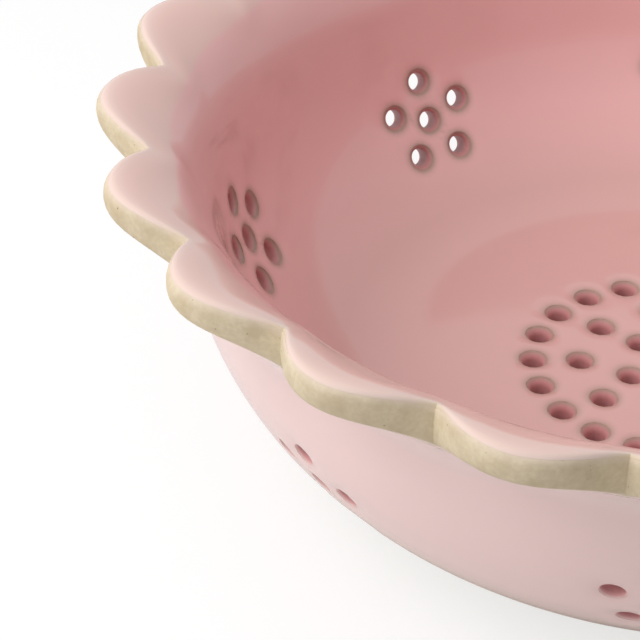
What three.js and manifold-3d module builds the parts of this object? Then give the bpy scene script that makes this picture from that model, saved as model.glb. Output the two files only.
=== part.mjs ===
// A stoneware berry bowl: a drain bowl with a flared, scalloped rim, flowers of round holes
// pierced through its wall and rings of drain holes in its floor. The clay is bare along the rim's
// edge and at the foot, and glazed inside and outside.
// Millimetres, +Z up. The origin is the middle of the face that the bowl stands on.
import * as THREE from 'three';
import { mergeVertices } from 'three/addons/utils/BufferGeometryUtils.js';
import Module from 'manifold-3d';

const { degToRad } = THREE.MathUtils;

// Section of the clay, from the foot up to the rim
const FOOT_HEIGHT = 6;
const FOOT_WIDTH = 6; // of the face that the bowl stands on
const FOOT_INSET = 8; // from the outside curve's lower end in to the standing face
const FOOT_JOINT = 0.1; // clearance between the foot and the underside of the floor
const FLOOR_THICKNESS = 5;
const FLOOR_RADIUS = 40; // flat part of the floor, inside
const BELLY_RADIUS = 32; // inside curve between floor and wall
const BASE_FILL = 9; // how much rounder the outside curve is than an even wall would make it
const WALL_THICKNESS = 5;
const WALL_LEAN = degToRad(12); // outward, from upright
const WALL_RISE = 7.4; // straight stretch of the wall, along its slope
const FLARE_RADIUS = 18; // inside curve between the wall and the edge of the rim
const RIM_SLOPE = degToRad(2.6); // rise that the flare ends in, at the edge
const EDGE_THICKNESS = 4.4; // that the rim thins to

// Scalloped edge
const SCALLOPS = 21;
const FIRST_CUSP = degToRad(267.6);
const SCALLOP_REACH = 7.1; // lobe tips beyond the cusps
const LOBE_FULLNESS = 0.77; // power of the cosine that shapes a lobe: lower is fuller
const CUSP_SOFTNESS = 0.29; // rounding of the cusps, as a share of a lobe's height: 0 is sharp
// The lobes are cut by eye and the rim warps in the kiln. One wave, which is nothing in front and
// behind and full at the two sides, moves the edge outward and the lobes around.
const WARP_FRONT = degToRad(240);
const RIM_WARP = 1.1;
const LOBE_DRIFT = degToRad(-1.2);

// Holes
const HOLE_DIAMETER = 4.1;
const FLOWERS = 8;
const PETALS = 5;
const PETAL_DISTANCE = 7.1; // from the flower's middle hole
const FIRST_FLOWER = degToRad(136.4); // around the bowl
const FLOWER_PLACE = degToRad(59.3); // up the belly's curve, from the floor
// The flowers are pierced by eye. Two waves move them off their even places, around and up.
const FLOWER_DRIFT = degToRad(3.5);
const FLOWER_DRIFT_STEP = degToRad(55);
const FLOWER_BOB = degToRad(4.3);
const FLOWER_BOB_STEP = degToRad(165);
const PIERCING_SKEW = degToRad(-12); // of the tool, around the bowl, from the wall's normal
const DRAIN_RINGS = [
  { radius: 7.9, holes: 5, first: degToRad(140) },
  { radius: 15.1, holes: 9, first: degToRad(107) },
  { radius: 22.6, holes: 20, first: degToRad(116) },
];

// Glaze
const COAT = 0.5;
const COAT_BOND = 0.1; // clearance between a coat and the clay under it
const BARE_EDGE = 1; // clay left bare inside the rim's edge
const BARE_LIP = 0.4; // clay left bare around each hole
const BARE_BASE = 3; // clay left bare above the foot

// Fineness of the facets
const SEGMENTS = 28; // around the bowl
const LOBE_STEPS = 8;
const ARC_STEP = degToRad(26);
const HOLE_SIDES = 6;

const TRIM = 2; // how far blanks and cutters run past what they meet

const wasm = await Module();
wasm.setup();

// Heights and angles that several pieces share
const floorTop = FOOT_HEIGHT + FLOOR_THICKNESS;
const wallSlope = Math.PI / 2 - WALL_LEAN;

// Points along an arc about (r, z). An angle of 0 is the lowest point of the circle, and the
// angle grows outward, so it is also the slope of the arc there.
function arc(r, z, radius, from, to) {
  const steps = Math.ceil(Math.abs(to - from) / ARC_STEP);
  return Array.from({ length: steps + 1 }, (_, i) => {
    const angle = from + ((to - from) * i) / steps;
    return new THREE.Vector2(r + radius * Math.sin(angle), z - radius * Math.cos(angle));
  });
}

// The point a given way further along a slope
function along(point, slope, way) {
  return new THREE.Vector2(point.x + way * Math.cos(slope), point.y + way * Math.sin(slope));
}

// A line of points moved sideways by a distance, to the left of its direction of travel
function offset(points, distance) {
  return points.map((point, i) => {
    const before = points[Math.max(i - 1, 0)];
    const after = points[Math.min(i + 1, points.length - 1)];
    const inDirection = point.clone().sub(before).normalize();
    const outDirection = after.clone().sub(point).normalize();
    const direction = inDirection.clone().add(outDirection).normalize();
    const turn = Math.max(direction.dot(inDirection), direction.dot(outDirection));
    const reach = distance / turn;
    return new THREE.Vector2(point.x - direction.y * reach, point.y + direction.x * reach);
  });
}

// The stretch of a rising line of points that lies above a height
function above(points, height) {
  const next = points.findIndex((point) => point.y > height);
  const low = points[next - 1];
  const share = (height - low.y) / (points[next].y - low.y);
  return [low.clone().lerp(points[next], share), ...points.slice(next)];
}

// Section lines of the clay. The wall's inside runs from the flat floor up the belly, the wall and
// the flare, and the blank runs on past the lobes, which are cut out of it.
const bellyInside = arc(FLOOR_RADIUS, floorTop + BELLY_RADIUS, BELLY_RADIUS, 0, wallSlope);
const wallTop = along(bellyInside.at(-1), wallSlope, WALL_RISE);
const flareCentre = along(wallTop, -WALL_LEAN, FLARE_RADIUS);
const flare = arc(flareCentre.x, flareCentre.y, -FLARE_RADIUS, wallSlope, RIM_SLOPE);
const cuspRadius = flare.at(-1).x - SCALLOP_REACH;
const rimBlank = along(flare.at(-1), RIM_SLOPE, TRIM);
const wallInside = [...bellyInside, ...flare, rimBlank];

// The wall's outside keeps the wall's thickness down to the belly, then runs rounder to the foot.
// Upwards it thins from the flare to the edge of the rim.
const outsideRadius = BELLY_RADIUS + WALL_THICKNESS + BASE_FILL;
const wallFoot = along(bellyInside.at(-1), -WALL_LEAN, WALL_THICKNESS);
const outsideCentre = along(wallFoot, -WALL_LEAN, -outsideRadius);
const outsideEnd = Math.acos((outsideCentre.y - FOOT_HEIGHT) / outsideRadius);
const bellyOutside = arc(outsideCentre.x, outsideCentre.y, outsideRadius, outsideEnd, wallSlope);
const flareOutside = offset([bellyInside.at(-1), ...flare, rimBlank], -WALL_THICKNESS).slice(1, -2);
const rimUnderside = along(rimBlank, RIM_SLOPE - Math.PI / 2, EDGE_THICKNESS);
const wallOutside = [...bellyOutside, ...flareOutside, rimUnderside];

function solid(geometry) {
  geometry.deleteAttribute('normal');
  geometry.deleteAttribute('uv');
  const merged = mergeVertices(geometry);
  const vertProperties = merged.attributes.position.array;
  const triVerts = new Uint32Array(merged.index.array);
  return new wasm.Manifold(new wasm.Mesh({ numProp: 3, vertProperties, triVerts }));
}

// A section turned about the bowl's axis
function turned(section) {
  const geometry = new THREE.LatheGeometry(section, SEGMENTS);
  return solid(geometry.rotateX(Math.PI / 2));
}

// The upright cutter that leaves the scalloped outline, drawn in by a margin
function scallopCutter(margin) {
  const steps = SCALLOPS * LOBE_STEPS;
  const lobeHeight = Math.hypot(1, CUSP_SOFTNESS) - CUSP_SOFTNESS;
  const outline = Array.from({ length: steps }, (_, i) => {
    const across = (i % LOBE_STEPS) / LOBE_STEPS - 0.5;
    const wave = Math.cos(across * Math.PI) ** LOBE_FULLNESS;
    const lobe = Math.hypot(wave, CUSP_SOFTNESS) - CUSP_SOFTNESS;
    const even = FIRST_CUSP + (2 * Math.PI * i) / steps;
    const warp = Math.sin(even - WARP_FRONT) ** 2;
    const radius = cuspRadius + (SCALLOP_REACH * lobe) / lobeHeight + RIM_WARP * warp - margin;
    const angle = even + LOBE_DRIFT * warp;
    return new THREE.Vector2(radius * Math.cos(angle), radius * Math.sin(angle));
  });
  const depth = rimBlank.y + 2 * TRIM;
  const geometry = new THREE.ExtrudeGeometry(new THREE.Shape(outline), { depth, bevelEnabled: false });
  return solid(geometry.translate(0, 0, -TRIM));
}

// A round cutter about a middle point, along a unit direction
function holeCutter(middle, direction, length, radius) {
  const geometry = new THREE.CylinderGeometry(radius, radius, length, HOLE_SIDES);
  const turn = new THREE.Quaternion().setFromUnitVectors(new THREE.Vector3(0, 1, 0), direction);
  geometry.applyQuaternion(turn);
  geometry.translate(middle.x, middle.y, middle.z);
  return solid(geometry);
}

// Every drain hole of the floor: one in the middle and three rings
function drainCutters(radius) {
  const up = new THREE.Vector3(0, 0, 1);
  const length = FLOOR_THICKNESS + 2 * TRIM;
  const height = floorTop - FLOOR_THICKNESS / 2;
  const rings = [{ radius: 0, holes: 1, first: 0 }, ...DRAIN_RINGS];
  return rings.flatMap((ring) => Array.from({ length: ring.holes }, (_, i) => {
    const angle = ring.first + (2 * Math.PI * i) / ring.holes;
    const middle = new THREE.Vector3(ring.radius * Math.cos(angle), ring.radius * Math.sin(angle), height);
    return holeCutter(middle, up, length, radius);
  }));
}

// The holes of one flower, all along one skewed way through the wall, with a petal on top
function flowerCutters(angle, rise, radius) {
  const out = new THREE.Vector3(Math.cos(angle), Math.sin(angle), 0);
  const across = new THREE.Vector3(-Math.sin(angle), Math.cos(angle), 0);
  const through = out.clone().multiplyScalar(Math.sin(rise));
  through.z = -Math.cos(rise);
  const upward = new THREE.Vector3().crossVectors(through, across);
  const heart = out.clone().multiplyScalar(FLOOR_RADIUS).addScaledVector(through, BELLY_RADIUS);
  heart.z += floorTop + BELLY_RADIUS;
  const pierced = through.clone().applyAxisAngle(new THREE.Vector3(0, 0, 1), PIERCING_SKEW);
  const length = 2 * (WALL_THICKNESS + BASE_FILL);
  const places = [heart];
  for (let petal = 0; petal < PETALS; petal += 1) {
    const turn = (2 * Math.PI * petal) / PETALS;
    const place = heart.clone().addScaledVector(upward, PETAL_DISTANCE * Math.cos(turn));
    places.push(place.addScaledVector(across, PETAL_DISTANCE * Math.sin(turn)));
  }
  return places.map((place) => holeCutter(place, pierced, length, radius));
}

function allHoles(lip) {
  const radius = HOLE_DIAMETER / 2 + lip;
  const cutters = drainCutters(radius);
  for (let flower = 0; flower < FLOWERS; flower += 1) {
    const drift = FLOWER_DRIFT * Math.sin(FLOWER_DRIFT_STEP * flower);
    const angle = FIRST_FLOWER + (2 * Math.PI * flower) / FLOWERS + drift;
    const rise = FLOWER_PLACE - FLOWER_BOB * Math.cos(FLOWER_BOB_STEP * flower);
    cutters.push(...flowerCutters(angle, rise, radius));
  }
  return cutters.reduce((joined, cutter) => joined.add(cutter));
}

function piece(name, shape, material) {
  const mesh = shape.getMesh();
  const geometry = new THREE.BufferGeometry();
  geometry.setAttribute('position', new THREE.BufferAttribute(mesh.vertProperties, 3));
  geometry.setIndex(new THREE.BufferAttribute(mesh.triVerts, 1));
  geometry.computeVertexNormals();
  const node = new THREE.Mesh(geometry, material);
  node.name = name;
  return node;
}

// The clay bowl: its section turned, scalloped and pierced
function stonewareBody(material) {
  const section = [
    new THREE.Vector2(0, FOOT_HEIGHT),
    ...wallOutside,
    ...wallInside.toReversed(),
    new THREE.Vector2(0, floorTop),
  ];
  const shape = turned(section).intersect(scallopCutter(0)).subtract(allHoles(0));
  return piece('stoneware_body', shape, material);
}

// The foot: its outside carries the wall's curve on, down to the standing face
function footRing(material) {
  const top = FOOT_HEIGHT - FOOT_JOINT;
  const shoulder = bellyOutside[0].x;
  const outer = shoulder - FOOT_INSET;
  const inner = outer - FOOT_WIDTH;
  const section = [
    new THREE.Vector2(inner, 0),
    new THREE.Vector2(outer, 0),
    new THREE.Vector2(shoulder, top),
    new THREE.Vector2(inner, top),
    new THREE.Vector2(inner, 0),
  ];
  return piece('foot_ring', turned(section), material);
}

// A coat on a line of the section: two lines off the clay, one coat apart
function coatLines(points, side) {
  return [offset(points, side * COAT_BOND), offset(points, side * (COAT_BOND + COAT))];
}

function insideGlaze(material) {
  const line = [new THREE.Vector2(0, floorTop), ...wallInside];
  const [back, face] = coatLines(line, 1);
  const skin = turned([...back, ...face.toReversed()]);
  const shape = skin.intersect(scallopCutter(BARE_EDGE)).subtract(allHoles(BARE_LIP));
  return piece('inside_glaze', shape, material);
}

function outsideGlaze(material) {
  const line = above(wallOutside, FOOT_HEIGHT + BARE_BASE);
  const [back, face] = coatLines(line, -1);
  const skin = turned([...face, ...back.toReversed(), face[0]]);
  const shape = skin.intersect(scallopCutter(BARE_EDGE)).subtract(allHoles(BARE_LIP));
  return piece('outside_glaze', shape, material);
}

const clay = new THREE.MeshStandardMaterial({ color: 0xcfc0a4, roughness: 0.9, metalness: 0 });
const insidePink = new THREE.MeshStandardMaterial({ color: 0xd8a49c, roughness: 0.35, metalness: 0 });
const outsidePink = new THREE.MeshStandardMaterial({ color: 0xe6c8c1, roughness: 0.45, metalness: 0 });

const bowl = new THREE.Group();
bowl.add(stonewareBody(clay), footRing(clay), insideGlaze(insidePink), outsideGlaze(outsidePink));

export default bowl;
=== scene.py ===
# %% [markdown]
# # A berry bowl in glazed stoneware
# A berry bowl is a small drain bowl. The potter throws or casts it in buff clay, flares its rim,
# cuts the rim into scallops and pierces holes through the floor and the wall while the clay is
# still soft. After a first firing it is glazed inside and out, its edge and foot are wiped clean,
# and it is fired again. The scene follows the same order: section, rim, holes, glaze, light.

# %% Load the frame
import math

import bpy
import numpy as np
from mathutils import Matrix, Vector


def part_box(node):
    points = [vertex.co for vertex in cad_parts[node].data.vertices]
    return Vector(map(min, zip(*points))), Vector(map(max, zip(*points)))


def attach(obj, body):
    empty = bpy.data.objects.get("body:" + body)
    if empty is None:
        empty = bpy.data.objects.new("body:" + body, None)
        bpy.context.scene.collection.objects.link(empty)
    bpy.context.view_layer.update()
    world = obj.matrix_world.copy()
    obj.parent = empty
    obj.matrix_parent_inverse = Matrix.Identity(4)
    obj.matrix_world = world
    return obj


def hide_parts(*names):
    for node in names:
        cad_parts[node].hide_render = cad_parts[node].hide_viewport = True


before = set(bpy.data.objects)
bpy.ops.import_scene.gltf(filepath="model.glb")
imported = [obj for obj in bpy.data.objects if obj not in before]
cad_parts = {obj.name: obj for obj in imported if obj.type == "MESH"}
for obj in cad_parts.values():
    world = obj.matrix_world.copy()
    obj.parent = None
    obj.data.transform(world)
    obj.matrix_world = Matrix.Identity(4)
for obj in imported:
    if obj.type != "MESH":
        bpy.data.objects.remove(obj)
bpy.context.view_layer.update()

bpy.ops.object.select_all(action="DESELECT")

# %% [markdown]
# ## The section of the clay
# Everything on the bowl follows from one section: a flat floor, a round belly, a short wall and one
# round flare that turns the wall over into the rim. It could be drawn as a curve and given a screw
# modifier. Here it is worked out from the potter's sizes as a line of points, because the glaze
# and the holes need to know the same line. Sizes are in millimetres until a mesh is made.

# %% Sizes of the section
MM = 0.001
FOOT_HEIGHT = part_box("stoneware_body")[0].z / MM
FLOOR_THICKNESS = 5
FLOOR_RADIUS = 40
BELLY_RADIUS = 32
OUTSIDE_RADIUS = 46
WALL_THICKNESS = 5
WALL_LEAN = math.radians(12)
WALL_RISE = 7.4
FLARE_RADIUS = 18
RIM_SLOPE = math.radians(2.6)
THINNING_SLOPE = math.radians(30)
EDGE_THICKNESS = 4.5
EDGE_TRIM = 0.1

floor_top = FOOT_HEIGHT + FLOOR_THICKNESS
wall_slope = math.pi / 2 - WALL_LEAN
belly_middle = (FLOOR_RADIUS, floor_top + BELLY_RADIUS)
print("floor at", round(floor_top, 2), "mm, belly about", belly_middle)


# %% Lines and arcs of the section
def straight(start, end, spacing):
    """Points from start to end, at most a spacing apart."""
    steps = max(1, math.ceil(math.dist(start, end) / spacing))
    return [tuple(np.add(start, np.subtract(end, start) * i / steps)) for i in range(steps + 1)]


def arc(middle, radius, first, last, spacing):
    """Points of a round stretch. Its angle is 0 at the lowest point and equals the slope."""
    steps = max(2, math.ceil(abs(radius * (last - first)) / spacing))
    angles = np.linspace(first, last, steps + 1)
    return [(middle[0] + radius * math.sin(a), middle[1] - radius * math.cos(a)) for a in angles]


def along(point, slope, way):
    """The point a given way further along a slope."""
    return point[0] + way * math.cos(slope), point[1] + way * math.sin(slope)


# %% Corners of the section
belly_end = along(belly_middle, -WALL_LEAN, BELLY_RADIUS)
wall_top = along(belly_end, wall_slope, WALL_RISE)
wall_foot = along(belly_end, -WALL_LEAN, WALL_THICKNESS)
outside_middle = along(wall_foot, -WALL_LEAN, -OUTSIDE_RADIUS)
flare_middle = along(wall_top, -WALL_LEAN, FLARE_RADIUS)
lobe_radius = flare_middle[0] - FLARE_RADIUS * math.sin(RIM_SLOPE) - EDGE_TRIM
print("flare about", np.round(flare_middle, 2), "mm, lobe tips at", round(lobe_radius, 2), "mm")


# %% Inside and outside lines of the clay
def inside_line(spacing):
    """From the middle of the floor up to the tip of a lobe."""
    tip_slope = math.asin((flare_middle[0] - lobe_radius) / FLARE_RADIUS)
    floor = straight((0, floor_top), (FLOOR_RADIUS, floor_top), spacing)
    belly = arc(belly_middle, BELLY_RADIUS, 0, wall_slope, spacing)
    wall = straight(belly_end, wall_top, spacing)
    flare = arc(flare_middle, -FLARE_RADIUS, wall_slope, tip_slope, spacing / 2)
    return floor[:-1] + belly[:-1] + wall[:-1] + flare


def outside_line(spacing):
    """From the foot up the outside, at the wall's thickness, to under the rim's highest point."""
    first = math.acos((outside_middle[1] - FOOT_HEIGHT) / OUTSIDE_RADIUS)
    belly = arc(outside_middle, OUTSIDE_RADIUS, first, wall_slope, spacing)
    wall = straight(wall_foot, along(wall_foot, wall_slope, WALL_RISE), spacing)
    slopes = np.linspace(wall_slope, 0, math.ceil(FLARE_RADIUS * wall_slope / spacing))
    thickness = np.interp(slopes, (RIM_SLOPE, THINNING_SLOPE), (EDGE_THICKNESS, WALL_THICKNESS))
    across = flare_middle[0] - (FLARE_RADIUS - thickness) * np.sin(slopes)
    height = flare_middle[1] + (FLARE_RADIUS - thickness) * np.cos(slopes)
    return belly[:-1] + wall[:-1] + list(zip(across, height))


FINE_SPACING = 0.3
under_line = np.array([point for point in outside_line(FINE_SPACING) if point[1] > floor_top])


def top_height(radius):
    """Height of the flare's top at a radius."""
    return flare_middle[1] + np.sqrt(np.maximum(FLARE_RADIUS ** 2 - (radius - flare_middle[0]) ** 2, 0))


def under_height(radius):
    """Height of the outside of the wall and the rim at a radius."""
    return np.interp(radius, *under_line.T)


print("rim", round(float(top_height(lobe_radius) - under_height(lobe_radius)), 2), "mm thick at its tips")


# %% The rounded edge
NOSE_TOP = 1.75
NOSE_LOW = 1.3
NOSE_POWER = 2.2


def nose(first, last, steps):
    """Points round the edge at the tip of a lobe, between two heights: -1 is below, 1 on top."""
    swings = np.linspace(math.asin(first), math.asin(last), steps + 1)
    up = np.sin(swings)
    depth = np.where(up > 0, NOSE_TOP, NOSE_LOW)
    radius = lobe_radius - depth * (1 - (1 - np.abs(up) ** NOSE_POWER) ** (1 / NOSE_POWER))
    top, under = top_height(radius), under_height(radius)
    return list(zip(radius, (top + under) / 2 + up * (top - under) / 2))


print("edge rounded over", NOSE_TOP, "mm on top and", NOSE_LOW, "mm below")

# %% [markdown]
# ## Turning a section
# A line of points becomes a pot on the wheel: the first point is one vertex, each next one is
# extruded from it, and Spin carries the line round the axis. Spin turns one lobe's width first,
# and a second Spin repeats that strip round the bowl, which is much quicker than one long spin.
# The section stands in the plane through a cusp, so a column of vertices runs down every cusp.

# %% Draw a line and spin it
WELD = MM / 1000


def turned(name, line, strips, steps, first_angle):
    """A line of (radius, height) points, turned once round the upright axis as a closed mesh."""
    heading = (math.cos(first_angle), math.sin(first_angle))
    points = [Vector((r * heading[0], r * heading[1], z)) * MM for r, z in line]
    bpy.ops.object.select_all(action="DESELECT")
    bpy.ops.mesh.primitive_plane_add(size=MM)
    piece = bpy.context.object
    piece.name = name
    bpy.ops.object.mode_set(mode="EDIT")
    bpy.ops.mesh.select_all(action="SELECT")
    bpy.ops.mesh.merge(type="CENTER")
    bpy.ops.transform.translate(value=points[0])
    for here, there in zip(points, points[1:]):
        bpy.ops.mesh.extrude_vertices_move(TRANSFORM_OT_translate={"value": there - here})
    bpy.ops.mesh.select_all(action="SELECT")
    strip = math.tau / strips
    bpy.ops.mesh.spin(steps=steps, angle=strip, center=(0, 0, 0), axis=(0, 0, 1))
    bpy.ops.mesh.select_all(action="SELECT")
    rest = {"steps": strips - 1, "angle": math.tau - strip, "dupli": True}
    bpy.ops.mesh.spin(center=(0, 0, 0), axis=(0, 0, 1), **rest)
    bpy.ops.mesh.select_all(action="SELECT")
    bpy.ops.mesh.remove_doubles(threshold=WELD)
    bpy.ops.mesh.normals_make_consistent(inside=False)
    bpy.ops.object.mode_set(mode="OBJECT")
    return piece


# %% Turn the clay
SCALLOPS = 21
LOBE_STEPS = 18
FIRST_CUSP = math.radians(267.6)
CLAY_LOW_SPACING = 1.25
CLAY_TOP_SPACING = 1.9
CLAY_NOSE_STEPS = 16
NOSE_GAP = 0.1

top_end = lobe_radius - NOSE_TOP - NOSE_GAP
low_end = lobe_radius - NOSE_LOW - NOSE_GAP
low_line = [point for point in outside_line(CLAY_LOW_SPACING) if point[0] < low_end]
top_line = [point for point in inside_line(CLAY_TOP_SPACING) if point[0] < top_end]
clay_line = [(0, FOOT_HEIGHT)] + low_line + nose(-1, 1, CLAY_NOSE_STEPS) + top_line[::-1]
clay = turned("clay_bowl", clay_line, SCALLOPS, LOBE_STEPS, FIRST_CUSP)
print(clay.name, "turned from", len(clay_line), "points:", len(clay.data.vertices), "vertices")

# %% [markdown]
# ## The scalloped rim
# The potter cuts the soft rim into lobes and rounds the cut with a wet sponge. A boolean cut would
# leave a hard, square edge. Here the rim slides inward over its own surface instead, most at the
# cusps, so that the rounded edge stays whole all along it. The lobes are cut by eye and the rim
# warps in the kiln, so a slow wave moves the edge a little outward and around at the two sides. The
# shoulder, where the rim turns down into the wall, is pulled out a little behind every lobe.

# %% Vertices as rows of numbers
def vertex_places(piece):
    """Every vertex of a piece as a row of millimetres."""
    places = np.empty(len(piece.data.vertices) * 3)
    piece.data.vertices.foreach_get("co", places)
    return places.reshape(-1, 3) / MM


def polar(places):
    """The distance of points from the bowl's axis, and their angles round it."""
    return np.hypot(places[:, 0], places[:, 1]), np.arctan2(places[:, 1], places[:, 0])


def move_vertices(piece, places):
    """Put the vertices of a piece at rows of millimetres."""
    piece.data.vertices.foreach_set("co", (places * MM).ravel())
    piece.data.update()


turned_radius, _ = polar(vertex_places(clay))
print("edge before cutting:", round(turned_radius.max(), 2), "mm from the axis")

# %% Outline of the lobes
SCALLOP_REACH = 7.1
LOBE_FULLNESS = 0.77
CUSP_SOFTNESS = 0.29
WARP_FRONT = math.radians(240)
RIM_WARP = 1.1
LOBE_DRIFT = math.radians(-1.2)


def lobe_share(angles):
    """How far the edge reaches at an angle: 0 at a cusp, 1 at the tip of a lobe."""
    across = ((angles - FIRST_CUSP) / math.tau * SCALLOPS) % 1 - 0.5
    wave = np.maximum(np.cos(across * math.pi), 0) ** LOBE_FULLNESS
    return (np.hypot(wave, CUSP_SOFTNESS) - CUSP_SOFTNESS) / (math.hypot(1, CUSP_SOFTNESS) - CUSP_SOFTNESS)


def warp_share(angles):
    """How far the rim has warped at an angle: 0 at WARP_FRONT and opposite it, 1 at the two sides."""
    return np.sin(angles - WARP_FRONT) ** 2


def edge_radius(angles):
    """Radius of the finished edge at an angle."""
    lobes = lobe_share(angles - LOBE_DRIFT * warp_share(angles))
    return lobe_radius - SCALLOP_REACH * (1 - lobes) + RIM_WARP * warp_share(angles)


cusp_and_tip = np.array([FIRST_CUSP, FIRST_CUSP + math.pi / SCALLOPS])
print("edge at the first cusp and the tip after it:", np.round(edge_radius(cusp_and_tip), 2), "mm")

# %% Slide the rim in
CUSP_SAG = 0.2
PULL_START = 74
LOW_PULL_START = 80
SHOULDER_START = 76
SHOULDER_WIDTH = 12
SHOULDER_WAVE = 1.0


def shoulder_wave(angles):
    """A smooth wave that is 1 at every cusp and -1 at the tip of every lobe."""
    return np.cos(SCALLOPS * (angles - FIRST_CUSP))


def scallop(piece):
    """Slide the rim of a turned piece over its own surface into the scalloped outline."""
    places = vertex_places(piece)
    radius, angle = polar(places)
    top, under = top_height(radius), under_height(radius)
    depth = np.clip((top - places[:, 2]) / (top - under), 0, 1)
    start = PULL_START + depth * (LOW_PULL_START - PULL_START)
    share = np.clip((radius - start) / (lobe_radius - start), 0, 1)
    lobes, warp = lobe_share(angle), warp_share(angle)
    moved = radius + share * (RIM_WARP * warp - SCALLOP_REACH * (1 - lobes))
    rise, low_rise = top_height(moved) - top, under_height(moved) - under
    places[:, 2] += rise * (1 - depth) + low_rise * depth - CUSP_SAG * (1 - lobes) * share
    shoulder = np.sin(math.pi * np.clip((radius - SHOULDER_START) / SHOULDER_WIDTH, 0, 1)) ** 2
    moved -= SHOULDER_WAVE / 2 * shoulder_wave(angle) * shoulder * (1 - depth)
    angle += LOBE_DRIFT * warp * share
    places[:, 0] = moved * np.cos(angle)
    places[:, 1] = moved * np.sin(angle)
    move_vertices(piece, places)


scallop(clay)
print(clay.name, "cut into", SCALLOPS, "lobes")

# %% [markdown]
# ## Where the holes go
# The floor has a middle hole and three rings of drain holes. Eight flowers of six holes stand round
# the belly, pierced by eye, so they wander a little around and up. The tool leans to one side and
# down, and its lean sways from flower to flower. Each hole is kept as a place on the inside of the
# clay and a way through it.

# %% Drain holes in the floor
# radius in millimetres, number of holes, angle of the first hole in degrees
DRAIN_RINGS = ((0, 1, 0), (7.9, 5, 140), (15.1, 9, 107), (22.6, 20, 116))


def drain_ring(radius, count, first):
    """The holes of one ring, each as a place and three directions."""
    angles = [math.radians(first) + math.tau * i / count for i in range(count)]
    spots = [Vector((radius * math.cos(a), radius * math.sin(a), floor_top)) for a in angles]
    return [(spot, Vector((1, 0, 0)), Vector((0, -1, 0)), Vector((0, 0, -1))) for spot in spots]


drains = [hole for ring in DRAIN_RINGS for hole in drain_ring(*ring)]
print(len(drains), "drain holes in", len(DRAIN_RINGS) - 1, "rings and the middle")

# %% Flowers in the wall
PETALS = 5
PETAL_DISTANCE = 7.1
FLOWERS = 8
# degrees round the bowl and up the belly, and the steps of the slow waves from flower to flower
FIRST_FLOWER = 136.4
FLOWER_DRIFT = 3.5
DRIFT_STEP = 55
FLOWER_PLACE = 59.3
FLOWER_BOB = 4.3
BOB_STEP = 165
SWAY_STEP = 60
PIERCING_SKEW = math.radians(-12)
PIERCING_DIP = math.radians(34)
PIERCING_SWAY = math.radians(7)


def flower(number):
    """The heart and the petals of one flower, each as a place and three directions."""
    drift = FLOWER_DRIFT * math.sin(math.radians(DRIFT_STEP * number))
    angle = math.radians(FIRST_FLOWER + 360 / FLOWERS * number + drift)
    rise = math.radians(FLOWER_PLACE - FLOWER_BOB * math.cos(math.radians(BOB_STEP * number)))
    out = Vector((math.cos(angle), math.sin(angle), 0))
    across = Vector((-math.sin(angle), math.cos(angle), 0))
    through = out * math.sin(rise) - Vector((0, 0, math.cos(rise)))
    upward = through.cross(across)
    heart = out * FLOOR_RADIUS + through * BELLY_RADIUS + Vector((0, 0, belly_middle[1]))
    places = [heart]
    for petal in range(PETALS):
        turn = math.tau * petal / PETALS
        places.append(heart + (upward * math.cos(turn) + across * math.sin(turn)) * PETAL_DISTANCE)
    sway = PIERCING_SWAY * math.cos(math.radians(SWAY_STEP * number))
    skew = Matrix.Rotation(PIERCING_SKEW - sway, 3, "Z")
    dip = PIERCING_DIP - sway
    way = skew @ (out * math.cos(dip) - Vector((0, 0, math.sin(dip))))
    return [(place, skew @ across, way.cross(skew @ across), way) for place in places]


petals = [hole for number in range(FLOWERS) for hole in flower(number)]
holes = drains + petals
print(len(petals), "holes in", FLOWERS, "flowers")

# %% [markdown]
# ## Piercing
# A hole pushed through soft clay has lips that are smoothed with a wet finger. One punch is modelled
# as a spindle with a flared collar at each end, the larger one inside. Each copy is seated on the
# wall, so that its collars follow the curved surface, and a boolean takes all of them out at once.
# The collars meet the surface at an angle, because a cut that only grazes it comes out ragged.

# %% The punch
HOLE_RADIUS = 1.55
PUNCH_WALL = 6
INNER_LIP = 1.6
OUTER_LIP = 0.7
LIP_SWING = math.radians(60)
LIP_POINTS = 8
BRIM = 0.35
CLAY_OVERSHOOT = 1.2


def reach(lip):
    """Radius at which a lip of some roundness meets the face of the clay."""
    return HOLE_RADIUS + lip * (1 - math.cos(LIP_SWING))


def punch_end(lip):
    """Half the outline of one end of the punch, which rounds a lip."""
    crown = lip * math.sin(LIP_SWING)
    swings = np.linspace(LIP_SWING, 0, LIP_POINTS)
    collar = [(HOLE_RADIUS + lip * (1 - math.cos(s)), crown - lip * math.sin(s)) for s in swings]
    brim = reach(lip) + BRIM
    end = [(0, -CLAY_OVERSHOOT), (brim, -CLAY_OVERSHOOT), (brim, -BRIM / math.tan(LIP_SWING))]
    return end + collar


def clay_punch_line():
    """Half the outline of the punch for the clay, from its inner end to its outer end."""
    return punch_end(INNER_LIP) + [(r, PUNCH_WALL - h) for r, h in punch_end(OUTER_LIP)[::-1]]


print("lips out to", round(reach(INNER_LIP), 2), "mm inside and", round(reach(OUTER_LIP), 2), "mm outside")

# %% Surfaces that the punches are seated on
NUDGE = 1e-3
NEWTON_STEPS = 8


def gap_inside(places):
    """Depth of points below the inside of the clay."""
    radius, _ = polar(places)
    belly = np.hypot(radius - belly_middle[0], places[:, 2] - belly_middle[1]) - BELLY_RADIUS
    return np.where(radius < FLOOR_RADIUS, floor_top - places[:, 2], belly)


def gap_outside(places):
    """How far points have come through the outside of the clay."""
    radius, _ = polar(places)
    belly = np.hypot(radius - outside_middle[0], places[:, 2] - outside_middle[1]) - OUTSIDE_RADIUS
    return np.where(radius < FLOOR_RADIUS, FOOT_HEIGHT - places[:, 2], belly)


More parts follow.
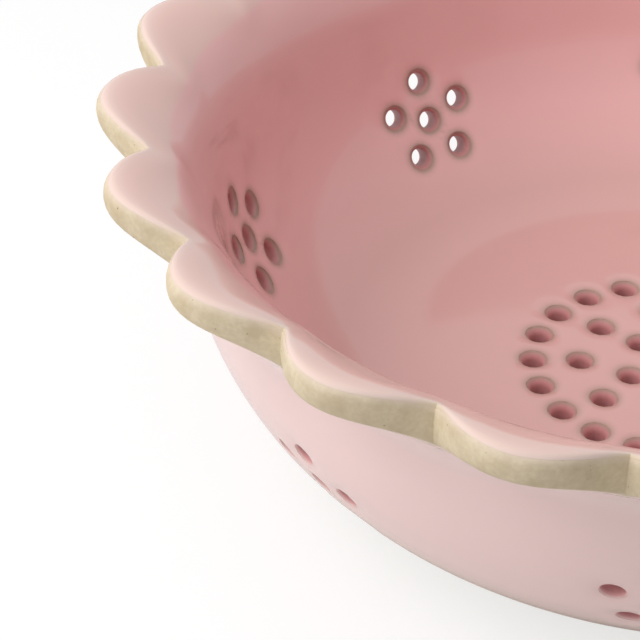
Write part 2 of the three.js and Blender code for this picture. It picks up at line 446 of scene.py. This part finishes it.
def way_to(surface, starts, direction):
    """How far along a direction each start point meets a surface, by Newton's steps."""
    way = np.zeros(len(starts))
    for _ in range(NEWTON_STEPS):
        here = surface(starts + way[:, None] * direction)
        there = surface(starts + (way + NUDGE)[:, None] * direction)
        way -= here * NUDGE / (there - here)
    return way


hole_places = np.array([hole[0] for hole in holes])
print("holes start within", round(np.abs(gap_inside(hole_places)).max(), 2), "mm of the inside")

# %% Seat the punches
PUNCH_SIDES = 28


def seated_punches(punch_line):
    """Copies of one punch, one for each hole, joined into one cutter."""
    punch = turned("punch", punch_line, 2, PUNCH_SIDES // 2, 0)
    pattern = vertex_places(punch)
    copies = []
    for place, across, upward, through in holes:
        copy = punch.copy()
        copy.data = punch.data.copy()
        bpy.context.collection.objects.link(copy)
        starts = np.array(place) + pattern[:, :2] @ np.array([across, upward])
        direction = np.array(through)
        inner = way_to(gap_inside, starts, direction) + pattern[:, 2]
        outer = way_to(gap_outside, starts, direction) + pattern[:, 2] - PUNCH_WALL
        depth = np.where(pattern[:, 2] < PUNCH_WALL / 2, inner, outer)
        move_vertices(copy, starts + depth[:, None] * direction)
        copies.append(copy)
    bpy.data.objects.remove(punch)
    bpy.ops.object.select_all(action="DESELECT")
    for copy in copies:
        copy.select_set(True)
    bpy.context.view_layer.objects.active = copies[0]
    bpy.ops.object.join()
    print(len(copies), "punches seated")
    return bpy.context.object


# %% Cut the holes
SMOOTH_BELOW = math.radians(40)


def pierce(piece, punch_line):
    """Take every hole out of a piece."""
    punches = seated_punches(punch_line)
    bpy.ops.object.select_all(action="DESELECT")
    piece.select_set(True)
    bpy.context.view_layer.objects.active = piece
    bpy.ops.object.modifier_add(type="BOOLEAN")
    cut = piece.modifiers[-1]
    cut.operation = "DIFFERENCE"
    cut.solver = "MANIFOLD"
    cut.object = punches
    bpy.ops.object.modifier_apply(modifier=cut.name)
    bpy.data.objects.remove(punches)
    bpy.ops.object.shade_smooth_by_angle(angle=SMOOTH_BELOW)
    print(piece.name, "pierced:", len(piece.data.polygons), "faces")


pierce(clay, clay_punch_line())

# %% [markdown]
# ## The foot
# Under the floor a turned ring lifts the drain holes off the table. It is the last thing that is
# trimmed on the wheel, so its arrises are softened with a finger. It is a closed section, turned
# the same way as the bowl.

# %% A softened corner
ARRIS_STEPS = 5


def rounded(before, corner, after, radius):
    """A corner of a line, rounded off with a small radius."""
    corner = np.array(corner)
    way_in = np.subtract(before, corner) / math.dist(before, corner)
    way_out = np.subtract(after, corner) / math.dist(after, corner)
    half = math.acos(float(np.clip(way_in @ way_out, -1, 1))) / 2
    middle = corner + (way_in + way_out) / np.linalg.norm(way_in + way_out) * radius / math.sin(half)
    first = corner + way_in * radius / math.tan(half) - middle
    last = corner + way_out * radius / math.tan(half) - middle
    swing = math.pi - 2 * half
    shares = np.linspace(0, 1, ARRIS_STEPS + 1)
    turn = [(math.sin((1 - s) * swing), math.sin(s * swing)) for s in shares]
    return [tuple(middle + (a * first + b * last) / math.sin(swing)) for a, b in turn]


# %% Turn the foot
FOOT_WIDTH = 6
FOOT_INSET = 8
FOOT_ARRIS = 1.0
JOINT_ARRIS = 0.25
FOOT_STRIPS = 12
FOOT_STEPS = 15

foot_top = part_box("foot_ring")[1].z / MM
foot_shoulder = low_line[0][0]
foot_outer = foot_shoulder - FOOT_INSET
foot_inner = foot_outer - FOOT_WIDTH
foot_corners = [(foot_inner, 0), (foot_outer, 0), (foot_shoulder, foot_top), (foot_inner, foot_top)]
foot_line = []
for i, corner in enumerate(foot_corners):
    softness = FOOT_ARRIS if corner[1] == 0 else JOINT_ARRIS
    foot_line += rounded(foot_corners[i - 1], corner, foot_corners[(i + 1) % 4], softness)
foot_line.append(foot_line[0])
foot = turned("foot", foot_line, FOOT_STRIPS, FOOT_STEPS, 0)
bpy.ops.object.shade_smooth_by_angle(angle=SMOOTH_BELOW)
print("foot:", round(foot_inner, 1), "to", round(foot_outer, 1), "mm on its standing face")

# %% [markdown]
# ## The two coats of glaze
# Glaze is a skin of glass about a third of a millimetre thick. It draws back from every edge and
# thins out there. Solidify would give the skin one thickness everywhere, so each coat is turned
# from a line of its own that lies off the clay and closes down to nothing at its margins. The coat
# gets the same scallops as the clay. Round each hole it sinks towards the lip, and a wider punch
# opens it there, where almost nothing of it is left.

# %% Lines of a coat
COAT = 0.3
COAT_BOND = 0.02
COAT_TAPER = 2
BACK_STRIDE = 3


def set_off(line, distances):
    """A line moved to its left by a distance for each point."""
    line = np.array(line)
    way = np.gradient(line, axis=0)
    way /= np.linalg.norm(way, axis=1)[:, None]
    return line + np.stack([-way[:, 1], way[:, 0]], axis=1) * np.array(distances)[:, None]


def coat_thickness(line, tapered_start):
    """Full over the line, and rounded down to nothing at its end, and at its start if asked."""
    steps = np.linalg.norm(np.diff(line, axis=0), axis=1)
    run = np.concatenate([[0], np.cumsum(steps)])
    from_end = np.minimum(run[-1] - run, COAT_TAPER)
    if tapered_start:
        from_end = np.minimum(from_end, run)
    return COAT * (1 - (1 - from_end / COAT_TAPER) ** 2)


def coat_outline(line, side, tapered_start):
    """The closed half outline of a coat: its back with few points, then its face."""
    face = set_off(line, side * (COAT_BOND + coat_thickness(line, tapered_start)))
    back = set_off(line, np.full(len(line), side * COAT_BOND))
    if line[0][0] == 0:
        face[0, 0] = back[0, 0] = 0
    sparse = [tuple(p) for p in back[:-1:BACK_STRIDE]]
    return sparse + [tuple(back[-1])] + [tuple(p) for p in face[-2::-1]]


# %% Sinking round the holes
SKIN_LEFT = 0.01
SINK_RADIUS = 4.6
FAR_OFF = 99.0
HOLE_LENGTH = 3 * WALL_THICKNESS


def off_hole(places):
    """Distance of each point from the axis of the nearest hole."""
    nearest = np.full(len(places), FAR_OFF)
    for place, across, upward, through in holes:
        arm = places - np.array(place)
        depth = arm @ np.array(through)
        off = np.linalg.norm(arm - depth[:, None] * np.array(through), axis=1)
        beside = np.abs(depth) < HOLE_LENGTH
        nearest = np.where(beside, np.minimum(nearest, off), nearest)
    return nearest


def sink_round_holes(coat, above_clay, lip):
    """Let the face of a coat dip towards the clay round each hole."""
    places = vertex_places(coat)
    height = above_clay(places)
    uphill = [(above_clay(places + NUDGE * axis) - height) / NUDGE for axis in np.eye(3)]
    near = np.clip((SINK_RADIUS - off_hole(places)) / (SINK_RADIUS - reach(lip)), 0, 1)
    sink = (COAT - SKIN_LEFT) * near ** 2 * (height > COAT / 2)
    move_vertices(coat, places - np.stack(uphill, axis=1) * sink[:, None])


# %% The wider punch
COAT_OVERSHOOT = 1.6


def coat_punch_line(lip):
    """Outline of the wider, plain punch for the coats, which ends their thin edges at the lips."""
    around = reach(lip) - COAT_BOND
    inner = [(0, -COAT_OVERSHOOT), (around, -COAT_OVERSHOOT), (around, 0)]
    return inner + [(r, PUNCH_WALL - h) for r, h in inner[::-1]]


# %% The inside coat
GLAZE_STOP = 0.85
INSIDE_SPACING = 0.95
COAT_NOSE_STEPS = 5

line = [point for point in inside_line(INSIDE_SPACING) if point[0] < top_end]
line += nose(GLAZE_STOP, 1, COAT_NOSE_STEPS)[::-1]
inside_coat = turned("inside_coat", coat_outline(line, 1, False), SCALLOPS, LOBE_STEPS, FIRST_CUSP)
scallop(inside_coat)
sink_round_holes(inside_coat, lambda places: -gap_inside(places), INNER_LIP)
pierce(inside_coat, coat_punch_line(INNER_LIP))

# %% The outside coat
BARE_BASE = 3
OUTSIDE_SPACING = 0.9

line = [point for point in outside_line(OUTSIDE_SPACING) if point[0] < lobe_radius - NOSE_LOW]
line = [point for point in line if point[1] > FOOT_HEIGHT + BARE_BASE]
outside_coat = turned("outside_coat", coat_outline(line, -1, True), SCALLOPS, LOBE_STEPS, FIRST_CUSP)
scallop(outside_coat)
sink_round_holes(outside_coat, gap_outside, OUTER_LIP)
pierce(outside_coat, coat_punch_line(OUTER_LIP))

# %% [markdown]
# ## Where the glaze is thin
# Near the rim's edge and round the holes the glaze runs thin and the buff clay shows through it. It
# is worn through soonest at the cusps, pales on the rim and pools on the floor. A noise can't know
# where these places are, so each piece carries attributes that its material reads: 1 at the place
# and 0 well away from it. The clay carries marks that tell lip from hole wall, inside from outside,
# and the upper side of its edge.

# %% Marking a piece
def mark(piece, name, values, zero, one):
    """Store values on a piece's vertices, rescaled so that one end is 0 and the other is 1."""
    layer = piece.data.attributes.new(name, "FLOAT", "POINT")
    layer.data.foreach_set("value", np.clip((values - zero) / (one - zero), 0, 1))


# %% Margins of the coats
HOLE_FADE = 4.0
EDGE_FADE = (4.6, 0.7)
CUSP_WEAR = 0.9
WEAR_FADE = (0.35, -0.35)
RIM_WAVE = 0.3
RIM_FADE = (78.2, 79.2)
POOL_FADE = (65, 53)

for coat, lip in ((inside_coat, INNER_LIP), (outside_coat, OUTER_LIP)):
    places = vertex_places(coat)
    radius, angle = polar(places)
    margin = edge_radius(angle) - radius
    mark(coat, "thin_at_hole", off_hole(places), HOLE_FADE, reach(lip))
    mark(coat, "thin_at_edge", margin, *EDGE_FADE)
    mark(coat, "worn", margin - CUSP_WEAR * (1 - lobe_share(angle)) ** 2, *WEAR_FADE)
    mark(coat, "on_rim", radius + RIM_WAVE * shoulder_wave(angle), *RIM_FADE)
    mark(coat, "pooled", radius, *POOL_FADE)
print("marked the margins of", inside_coat.name, "and", outside_coat.name)

# %% Lips of the clay
OUTSIDE_FADE = (-2.4, -1.6)
GLAZE_FADE = (0.34, 0.06)

places = vertex_places(clay)
radius, _ = polar(places)
gaps = gap_outside(places)
lip_edge = np.where(gaps > np.mean(OUTSIDE_FADE), reach(OUTER_LIP), reach(INNER_LIP))
mark(clay, "lip", (off_hole(places) - HOLE_RADIUS) / (lip_edge - HOLE_RADIUS), 0, 1)
mark(clay, "outside", gaps, *OUTSIDE_FADE)
below_top = (top_height(radius) - places[:, 2]) / (top_height(radius) - under_height(radius))
mark(clay, "by_glaze", below_top, *GLAZE_FADE)
print("marked the lips of", clay.name)

# %% [markdown]
# ## Finishes
# A finish is a small tree of shader nodes. Written as sums, it reads like the recipe that it is:
# one class wraps a socket so that plus, minus and times add Math nodes, and one method adds any
# other node by its type, its settings and its sockets.

# %% A socket in a sum
class Wire:
    """A socket that can be used in a sum."""

    def __init__(self, finish, socket):
        self.finish = finish
        self.socket = socket

    def sum_with(self, operation, first, second):
        """One Math node."""
        return self.finish.node("ShaderNodeMath", {"operation": operation}, {0: first, 1: second})

    def __add__(self, other):
        return self.sum_with("ADD", self, other)

    def __radd__(self, other):
        return self.sum_with("ADD", other, self)

    def __sub__(self, other):
        return self.sum_with("SUBTRACT", self, other)

    def __rsub__(self, other):
        return self.sum_with("SUBTRACT", other, self)

    def __mul__(self, other):
        return self.sum_with("MULTIPLY", self, other)

    def __pow__(self, other):
        return self.sum_with("POWER", self, other)

    def within(self):
        """The same value, held between 0 and 1."""
        return self.finish.node("ShaderNodeClamp", {}, {"Value": self})


# %% A workbench for finishes
SPECK_SHARPNESS = 4


class Finish:
    """A material, or a world, and its nodes."""

    def __init__(self, owner):
        self.owner = owner
        owner.use_nodes = True
        self.tree = owner.node_tree
        self.tree.nodes.clear()

    def node(self, kind, settings, sockets, output=0):
        """Any node: its settings first, then values or wires for its sockets."""
        node = self.tree.nodes.new(kind)
        for name, value in settings.items():
            setattr(node, name, value)
        for name, value in sockets.items():
            if isinstance(value, Wire):
                self.tree.links.new(value.socket, node.inputs[name])
            else:
                node.inputs[name].default_value = value
        return Wire(self, node.outputs[output]) if node.outputs else None

    def mix(self, share, first, second):
        """A colour between two colours."""
        settings = {"data_type": "RGBA", "clamp_factor": True}
        return self.node("ShaderNodeMix", settings, {0: share, 6: first, 7: second}, 2)

    def place(self):
        """The place of a point in its own object."""
        return self.node("ShaderNodeTexCoord", {}, {}, "Object")

    def noise(self, scale, detail):
        """A cloudy value about 0.5."""
        sockets = {"Vector": self.place(), "Scale": scale, "Detail": detail}
        return self.node("ShaderNodeTexNoise", {}, sockets, "Fac")

    def specks(self, scale, size, share):
        """Round specks of different sizes, in some of the cells of a random pattern."""
        cells = {"Vector": self.place(), "Scale": scale}
        distance = self.node("ShaderNodeTexVoronoi", {}, cells, "Distance")
        colour = self.node("ShaderNodeTexVoronoi", {}, cells, "Color")
        lot = self.node("ShaderNodeSeparateColor", {}, {"Color": colour}, "Red")
        size_here = (lot - (1 - share)).within() * (size / share)
        return ((size_here - distance) * (SPECK_SHARPNESS / size)).within()

    def attribute(self, name):
        """A mark that a piece carries."""
        return self.node("ShaderNodeAttribute", {"attribute_name": name}, {}, "Fac")

    def bump(self, height, distance, strength):
        """A normal for a surface with small heights on it."""
        sockets = {"Height": height, "Distance": distance, "Strength": strength}
        return self.node("ShaderNodeBump", {}, sockets, "Normal")

    def surface(self, **sockets):
        """The shader itself, with its sockets named in Python's way."""
        named = {name.replace("_", " "): value for name, value in sockets.items()}
        shader = self.node("ShaderNodeBsdfPrincipled", {}, named)
        self.node("ShaderNodeOutputMaterial", {}, {"Surface": shader})
        return self.owner


# %% Paints
def paint(red, green, blue):
    """A colour as a paint chart gives it, sRGB from 0 to 255, for a shader."""
    parts = [value / 255 for value in (red, green, blue)]
    return [p / 12.92 if p <= 0.04045 else ((p + 0.055) / 1.055) ** 2.4 for p in parts] + [1]


# %% [markdown]
# ### Bare clay
# The buff stoneware shows along the rim's edge and under the foot. It is matt and finely gritty,
# with small dark iron specks. In the holes the glaze has run in, and at their lips it is so thin
# that it turns a greyish brown.

# %% Buff clay, shared by the bowl and its foot
BUFF = paint(213, 196, 166)
PALE_BUFF = paint(227, 212, 184)
BLOTCH = paint(190, 170, 138)
GRIT = paint(194, 176, 146)
FINE_SPECK = paint(140, 118, 94)
IRON_SPECK = paint(92, 72, 56)


def buff_clay(finish):
    """The colour of the bare clay, and the height of its grain."""
    cloud = finish.noise(scale=90, detail=3)
    grain = finish.noise(scale=1500, detail=3)
    blotch = finish.noise(scale=330, detail=3)
    fine = finish.specks(scale=900, size=0.16, share=0.9)
    coarse = finish.specks(scale=430, size=0.085, share=0.6)
    buff = finish.mix(cloud, BUFF, PALE_BUFF)
    buff = finish.mix((blotch - 0.5) * 2.2 + 0.2, buff, BLOTCH)
    buff = finish.mix((grain - 0.5) * 1.1 + 0.3, buff, GRIT)
    buff = finish.mix(fine * 0.55, buff, FINE_SPECK)
    buff = finish.mix(coarse * 0.8, buff, IRON_SPECK)
    return buff, grain * 0.6 + finish.noise(scale=4200, detail=2) * 0.4


# %% Bare clay, and the lips of the holes
HOLE_PINKS = (paint(204, 144, 144), paint(214, 154, 153))
LIP_BROWNS = (paint(168, 136, 125), paint(182, 150, 138))
OUTSIDE_LIP = paint(232, 196, 190)
BLUSH = paint(232, 213, 198)
FILM_ROUGHNESS = 0.45
BARE_ROUGHNESS = 0.9
FIRED_IOR = 1.5


def clay_finish():
    """Buff clay on the edge and below, and a film of glaze in the holes."""
    finish = Finish(bpy.data.materials.new("buff_stoneware"))
    buff, pits = buff_clay(finish)
    lip = finish.attribute("lip")
    tone = finish.noise(scale=300, detail=2)
    worn = finish.mix(finish.attribute("outside"), finish.mix(tone, *LIP_BROWNS), OUTSIDE_LIP)
    glazed = finish.mix((lip * 1.6 - 0.4).within(), finish.mix(tone, *HOLE_PINKS), worn)
    bare = (lip * 12 - 11).within()
    buff = finish.mix(finish.attribute("by_glaze") ** 1.5 * 0.6, buff, BLUSH)
    colour = finish.mix(bare, glazed, buff)
    normal = finish.bump(pits * (0.1 + bare * 0.9), distance=0.0001, strength=0.6)
    roughness = FILM_ROUGHNESS + bare * (BARE_ROUGHNESS - FILM_ROUGHNESS)
    return finish.surface(Base_Color=colour, Roughness=roughness, Normal=normal, IOR=FIRED_IOR)


# %% Bare clay of the foot
FOOT_ROUGHNESS = 0.92


def foot_finish():
    """Buff clay, a little rougher."""
    finish = Finish(bpy.data.materials.new("foot_clay"))
    buff, pits = buff_clay(finish)
    normal = finish.bump(pits, distance=0.00014, strength=0.7)
    return finish.surface(Base_Color=buff, Roughness=FOOT_ROUGHNESS, Normal=normal, IOR=FIRED_IOR)


# %% [markdown]
# ### The pink glaze
# One pink glaze covers both sides. Inside it is painted a deeper pink than outside, as painted shade
# for the inside of the bowl, which lies in shade and throws pink light on itself. Towards the rim it
# pales, and round the holes inside it turns beige. It is smooth glass, so it mirrors the white tent, and
# the small dips round the holes bend those reflections. It has slow clouds of colour, a faint
# ripple and a very few fine specks.

# %% Pink glaze
WORN_CLAY = paint(216, 199, 170)
GLAZE_SPECK = paint(130, 92, 84)


def glaze_finish(name, pool, deep, pale, edge, lip, roughness):
    """The glaze, from its tones on the floor, the wall, the rim, the edge and the lips."""
    finish = Finish(bpy.data.materials.new(name))
    cloud = (finish.noise(scale=28, detail=3) - 0.5) * 0.28
    pink = finish.mix((finish.attribute("pooled") + cloud).within(), paint(*deep), paint(*pool))
    pink = finish.mix((finish.attribute("on_rim") + cloud).within(), pink, paint(*pale))
    thin = finish.attribute("thin_at_edge")
    ragged = (thin + (finish.noise(scale=260, detail=3) - 0.5) * 0.2 * thin).within()
    pink = finish.mix(ragged ** 2 * 0.8, pink, paint(*edge))
    pink = finish.mix(finish.attribute("worn") * 0.9, pink, WORN_CLAY)
    pink = finish.mix(finish.attribute("thin_at_hole") ** 2.5 * 0.95, pink, paint(*lip))
    pink = finish.mix(finish.specks(scale=160, size=0.045, share=0.12) * 0.6, pink, GLAZE_SPECK)
    ripple = finish.noise(scale=90, detail=2)
    normal = finish.bump(ripple, distance=0.00004, strength=0.4)
    return finish.surface(Base_Color=pink, Roughness=roughness, Normal=normal, IOR=FIRED_IOR)


# %% Two coats of one glaze
# The inside tones are deeper than the outside's: painted shade for the inside of the bowl.
INSIDE_GLAZE = {
    "pool": (220, 172, 167),
    "deep": (241, 187, 185),
    "pale": (236, 197, 188),
    "edge": (230, 209, 198),
    "lip": (180, 147, 135),
    "roughness": 0.085,
}
OUTSIDE_GLAZE = {
    "pool": (240, 207, 203),
    "deep": (241, 210, 206),
    "pale": (241, 213, 208),
    "edge": (236, 214, 206),
    "lip": (234, 200, 195),
    "roughness": 0.1,
}

inside_pink = glaze_finish("inside_pink_glaze", **INSIDE_GLAZE)
outside_pink = glaze_finish("outside_pink_glaze", **OUTSIDE_GLAZE)
print("glazes:", inside_pink.name, "and", outside_pink.name)

# %% Dress the pieces
for piece, finish, node, slot in (
    (clay, clay_finish(), "stoneware_body", "clay"),
    (foot, foot_finish(), "foot_ring", "clay"),
    (inside_coat, inside_pink, "inside_glaze", "inside_glaze"),
    (outside_coat, outside_pink, "outside_glaze", "outside_glaze"),
):
    piece.data.materials.clear()
    piece.data.materials.append(finish)
    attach(piece, "root")
    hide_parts(node)
    print(piece.name, "stands for", node, "with", finish.name)

# %% [markdown]
# ## The studio
# The bowl stands on a white sweep in a white tent: one softbox up on the left and white cloth all
# round, which the glaze mirrors. The cloth is dimmer low down, most of all on the right, and towards
# the front and back. The floor is a plain matt white that keeps the bowl's shadow. What the camera
# sees of it directly gets a lift, so that the picture's ground is white.

# %% The floor
FLOOR_SIZE = 6
FLOOR_LIFT = 0.7
WHITE_SWEEP = paint(236, 236, 236)
SEEN_SWEEP = paint(150, 150, 150)
WHITE = (1, 1, 1, 1)

bpy.ops.object.select_all(action="DESELECT")
bpy.ops.mesh.primitive_plane_add(size=FLOOR_SIZE)
floor = bpy.context.object
floor.name = "floor"

sweep = Finish(bpy.data.materials.new("white_sweep"))
seen = sweep.node("ShaderNodeLightPath", {}, {}, "Is Camera Ray")
white = sweep.mix(seen, WHITE_SWEEP, SEEN_SWEEP)
matt = sweep.node("ShaderNodeBsdfDiffuse", {}, {"Color": white})
lift = sweep.node("ShaderNodeEmission", {}, {"Color": WHITE, "Strength": seen * FLOOR_LIFT})
both = sweep.node("ShaderNodeAddShader", {}, {0: matt, 1: lift})
sweep.node("ShaderNodeOutputMaterial", {}, {"Surface": both})
floor.data.materials.append(sweep.owner)
print(floor.name, FLOOR_SIZE, "m across, of", sweep.owner.name)

# %% The tent
LOW_TENT = 0.2
HIGH_TENT = 0.94
RIGHT_SHADE = 0.8
END_SHADE = 0.3
LOW_MIRRORED = 0.85

tent = Finish(bpy.data.worlds.new("white_tent"))
mirrored = tent.node("ShaderNodeLightPath", {}, {}, "Is Glossy Ray")
seen = tent.node("ShaderNodeLightPath", {}, {}, "Is Camera Ray")
way = tent.node("ShaderNodeTexCoord", {}, {}, "Generated")
height = tent.node("ShaderNodeSeparateXYZ", {}, {"Vector": way}, "Z").within()
rightward = tent.node("ShaderNodeSeparateXYZ", {}, {"Vector": way}, "X").within()
ahead = tent.node("ShaderNodeSeparateXYZ", {}, {"Vector": way}, "Y")
shade = (1 - rightward * (1 - height) * RIGHT_SHADE) * (1 - ahead * ahead * END_SHADE)
light = (height * (HIGH_TENT - LOW_TENT) + LOW_TENT) * shade
mirror_light = LOW_MIRRORED + height * (1 - LOW_MIRRORED)
strength = light + mirrored * (mirror_light - light) + seen * (1 - light)
cloth = tent.node("ShaderNodeBackground", {}, {"Color": WHITE, "Strength": strength})
tent.node("ShaderNodeOutputWorld", {}, {"Surface": cloth})
bpy.context.scene.world = tent.owner
print(tent.owner.name, "from", LOW_TENT, "low down to", HIGH_TENT, "overhead")


# %% The softbox
KEY_AZIMUTH = 207
KEY_ELEVATION = 40
KEY_DISTANCE = 0.55
KEY_SIZE = 0.4
KEY_WATTS = 1.65


def softbox(name, azimuth, elevation, distance, size, watts):
    """A square lamp that faces the bowl from a direction."""
    a, e = math.radians(azimuth), math.radians(elevation)
    away = Vector((math.cos(a) * math.cos(e), math.sin(a) * math.cos(e), math.sin(e)))
    lamp = bpy.data.lights.new(name, "AREA")
    lamp.size = size
    lamp.energy = watts
    stand = bpy.data.objects.new(name, lamp)
    bpy.context.collection.objects.link(stand)
    stand.location = away * distance
    stand.rotation_mode = "QUATERNION"
    stand.rotation_quaternion = (-away).to_track_quat("-Z", "Y")
    return stand


key = softbox("key_softbox", KEY_AZIMUTH, KEY_ELEVATION, KEY_DISTANCE, KEY_SIZE, KEY_WATTS)
key.visible_glossy = False
print(key.name, KEY_DISTANCE, "m from the bowl")

# %% The camera
EYE = Vector((0.27, -281.42, 210.32)) * MM
YAW = math.radians(-11.665)
PITCH = math.radians(34.733)
ROLL = math.radians(0.581)
FOCUS_PIXELS = 2137
PICTURE_PIXELS = 640
SENSOR_WIDTH = 36
CLIP_START = 0.01

sight = Vector((math.sin(YAW) * math.cos(PITCH), math.cos(YAW) * math.cos(PITCH), -math.sin(PITCH)))
level = Vector((math.cos(YAW), -math.sin(YAW), 0))
upright = level.cross(sight)
right = level * math.cos(ROLL) + upright * math.sin(ROLL)
up = upright * math.cos(ROLL) - level * math.sin(ROLL)
lens = bpy.data.cameras.new("camera")
lens.sensor_width = SENSOR_WIDTH
lens.lens = FOCUS_PIXELS / PICTURE_PIXELS * SENSOR_WIDTH
lens.clip_start = CLIP_START
camera = bpy.data.objects.new("camera", lens)
camera.matrix_world = Matrix.Translation(EYE) @ Matrix((right, up, -sight)).transposed().to_4x4()
bpy.context.collection.objects.link(camera)
bpy.context.scene.camera = camera
bpy.context.scene.view_settings.view_transform = "Standard"
print(camera.name, "with a lens of", round(lens.lens, 1), "mm,", round(EYE.length, 3), "m from the bowl")
